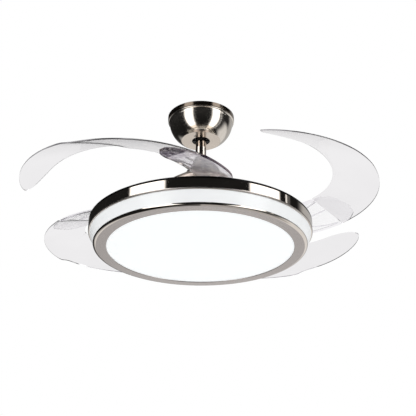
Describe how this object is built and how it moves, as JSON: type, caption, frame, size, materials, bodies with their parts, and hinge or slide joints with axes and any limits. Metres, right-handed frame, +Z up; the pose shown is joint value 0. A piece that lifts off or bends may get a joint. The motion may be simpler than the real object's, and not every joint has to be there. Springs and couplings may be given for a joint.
{
  "type": "retractable blade ceiling fan",
  "caption": "Ceiling fan with a round LED light below and clear sickle blades that swing out to work and fold back over the light.",
  "frame": {"origin": "centre of the hanger bracket's flat top, where it meets the ceiling", "axes": "+Z up into the ceiling, the fan hangs along -Z; +X to the viewer's right and +Y away from the viewer in the picture"},
  "size_m": [0.7628, 0.7628, 0.34],
  "materials": {
    "polished_nickel": "polished satin-nickel plate",
    "brushed_nickel": "brushed warm nickel",
    "zinc_steel": "zinc-plated pressed steel",
    "dark_steel": "oiled dark steel",
    "cast_aluminium": "as cast",
    "clear_plastic": "clear moulded polycarbonate",
    "opal_plastic": "opal light-spreading acrylic",
    "white_plastic": "white moulded housing",
    "nylon": "natural nylon gear",
    "circuit_board": "white solder mask",
    "copper": "enamelled copper windings on a laminated core",
    "magnet": "sintered ferrite",
    "black_rubber": "matt rubber"
  },
  "bodies": {
    "ceiling_mount": {"hanger_bracket": "zinc_steel", "receiver_box": "white_plastic", "canopy": "polished_nickel", "canopy_ring": "polished_nickel", "canopy_screw_1": "zinc_steel", "canopy_screw_2": "zinc_steel"},
    "suspension": {"hanger_ball": "black_rubber", "ball_cross_pin": "zinc_steel", "downrod": "polished_nickel", "yoke_cover": "brushed_nickel", "motor_yoke": "dark_steel", "yoke_pin": "zinc_steel", "motor_shaft": "dark_steel", "stator": "copper", "upper_bearing": "zinc_steel", "lower_bearing": "zinc_steel", "light_hub": "cast_aluminium", "shaft_nut": "zinc_steel", "light_pan": "polished_nickel", "side_lens": "opal_plastic", "bezel": "brushed_nickel", "bezel_frame": "zinc_steel", "diffuser": "opal_plastic", "led_plate": "white_plastic", "led_board": "circuit_board", "led_driver": "white_plastic"},
    "rotor": {"motor_upper_shell": "brushed_nickel", "motor_lower_shell": "brushed_nickel", "magnet_ring": "magnet", "rotor_hub": "cast_aluminium", "blade_tray": "zinc_steel", "pivot_bolt_1": "zinc_steel", "pivot_bolt_2": "zinc_steel", "pivot_bolt_3": "zinc_steel", "pivot_bolt_4": "zinc_steel", "return_spring_1": "zinc_steel", "return_spring_2": "zinc_steel", "return_spring_3": "zinc_steel", "return_spring_4": "zinc_steel", "stop_bumper_1": "black_rubber", "stop_bumper_2": "black_rubber"},
    "sync_gear": {"sync_ring": "nylon"},
    "folding_blade_1": {"blade_1": "clear_plastic", "blade_arm_1": "clear_plastic", "sector_gear_1": "nylon"},
    "folding_blade_2": {"blade_2": "clear_plastic", "blade_arm_2": "clear_plastic", "sector_gear_2": "nylon"},
    "folding_blade_3": {"blade_3": "clear_plastic", "blade_arm_3": "clear_plastic", "sector_gear_3": "nylon"},
    "folding_blade_4": {"blade_4": "clear_plastic", "blade_arm_4": "clear_plastic", "sector_gear_4": "nylon"}
  },
  "joints": [
    {"name": "ball_swing", "type": "hinge", "parent": "ceiling_mount", "child": "suspension", "pos_m": [0, 0, -0.04], "axis": [1, 0, 0], "range_deg": [-12, 12]},
    {"name": "rotor_spin", "type": "hinge", "parent": "suspension", "child": "rotor", "pos_m": [0, 0, -0.25], "axis": [0, 0, 1], "continuous": true},
    {"name": "blade_fold_1", "type": "hinge", "parent": "rotor", "child": "folding_blade_1", "pos_m": [0.03894, -0.19311, -0.27], "axis": [0, 0, 1], "range_deg": [-61.3, 40]},
    {"name": "blade_fold_2", "type": "hinge", "parent": "rotor", "child": "folding_blade_2", "pos_m": [0.19311, 0.03894, -0.27], "axis": [0, 0, 1], "range_deg": [-61.3, 40]},
    {"name": "blade_fold_3", "type": "hinge", "parent": "rotor", "child": "folding_blade_3", "pos_m": [-0.03894, 0.19311, -0.27], "axis": [0, 0, 1], "range_deg": [-61.3, 40]},
    {"name": "blade_fold_4", "type": "hinge", "parent": "rotor", "child": "folding_blade_4", "pos_m": [-0.19311, -0.03894, -0.27], "axis": [0, 0, 1], "range_deg": [-61.3, 40]},
    {"name": "sync_turn", "type": "hinge", "parent": "rotor", "child": "sync_gear", "pos_m": [0, 0, -0.2745], "axis": [0, 0, 1], "range_deg": [-7.8, 11.9]}
  ],
  "couplings": [
    {"joint": "blade_fold_2", "follows": "blade_fold_1", "ratio": 1},
    {"joint": "blade_fold_3", "follows": "blade_fold_1", "ratio": 1},
    {"joint": "blade_fold_4", "follows": "blade_fold_1", "ratio": 1},
    {"joint": "sync_turn", "follows": "blade_fold_1", "ratio": -0.19394}
  ]
}
